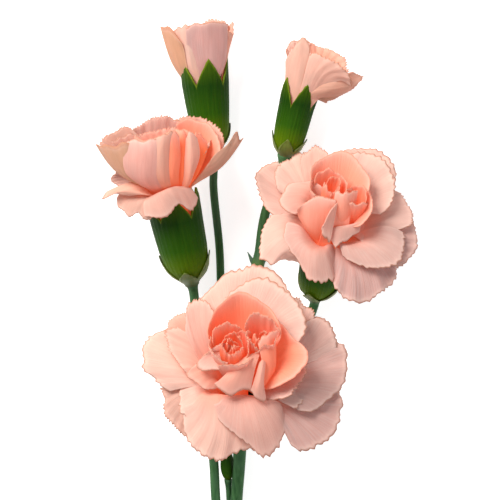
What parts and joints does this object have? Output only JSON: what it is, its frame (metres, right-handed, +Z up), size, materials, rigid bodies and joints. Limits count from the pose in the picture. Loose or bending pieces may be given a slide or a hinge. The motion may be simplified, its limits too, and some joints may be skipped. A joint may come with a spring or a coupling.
{
  "type": "cut carnation",
  "caption": "Cut spray carnation lying down: branched green stem with toothed calyces, ruffled peach and coral blooms, opening buds and a pair of narrow leaves.",
  "frame": {"origin": "middle of the footprint, on the surface that the spray lies on", "axes": "+Y along the stem from its cut end to the flowers, +X to the right seen from above with the flowers away from the viewer, +Z up from the surface"},
  "size_m": [0.0964, 0.1914, 0.0504],
  "materials": {
    "stem": "smooth waxy blue-green stem",
    "calyx": "finely striped green calyx with paler teeth edges",
    "leaf": "matte blue-green leaf with a waxy bloom",
    "petal_outer": "thin soft translucent petal, pale peach",
    "petal_second": "thin soft translucent petal, peach",
    "petal_middle": "thin soft translucent petal, light coral",
    "petal_heart": "thin soft translucent petal, coral",
    "petal_bud": "thin soft folded petal of an opening bud, peach"
  },
  "bodies": {
    "root": {"bract_left": "leaf", "bract_right": "leaf", "front_calyx": "calyx", "front_flower_stalk": "stem", "front_heart_petal_1": "petal_heart", "front_heart_petal_2": "petal_heart", "front_middle_petal_1": "petal_middle", "front_middle_petal_2": "petal_middle", "front_middle_petal_3": "petal_middle", "front_outer_petal_1": "petal_outer", "front_outer_petal_2": "petal_outer", "front_outer_petal_3": "petal_outer", "front_outer_petal_4": "petal_outer", "front_outer_petal_5": "petal_outer", "front_outer_petal_6": "petal_outer", "front_second_petal_1": "petal_second", "front_second_petal_2": "petal_second", "front_second_petal_3": "petal_second", "front_second_petal_4": "petal_second", "front_second_petal_5": "petal_second", "leaf_left": "leaf", "leaf_right": "leaf", "left_bud_bud_petal_1": "petal_bud", "left_bud_bud_petal_2": "petal_bud", "left_bud_bud_petal_3": "petal_bud", "left_bud_calyx": "calyx", "left_bud_stalk": "stem", "left_calyx": "calyx", "left_flower_stalk": "stem", "left_heart_petal_1": "petal_heart", "left_middle_petal_1": "petal_middle", "left_middle_petal_2": "petal_middle", "left_outer_petal_1": "petal_outer", "left_outer_petal_2": "petal_outer", "left_outer_petal_3": "petal_outer", "left_outer_petal_4": "petal_outer", "main_stem": "stem", "right_bud_bud_petal_1": "petal_bud", "right_bud_bud_petal_2": "petal_bud", "right_bud_bud_petal_3": "petal_bud", "right_bud_calyx": "calyx", "right_bud_stalk": "stem", "right_calyx": "calyx", "right_flower_stalk": "stem", "right_heart_petal_1": "petal_heart", "right_middle_petal_1": "petal_middle", "right_middle_petal_2": "petal_middle", "right_outer_petal_1": "petal_outer", "right_outer_petal_2": "petal_outer", "right_outer_petal_3": "petal_outer", "right_outer_petal_4": "petal_outer", "right_outer_petal_5": "petal_outer", "right_second_petal_1": "petal_second", "right_second_petal_2": "petal_second", "right_second_petal_3": "petal_second", "right_second_petal_4": "petal_second", "small_bud": "calyx", "small_bud_stalk": "stem"}
  },
  "joints": []
}
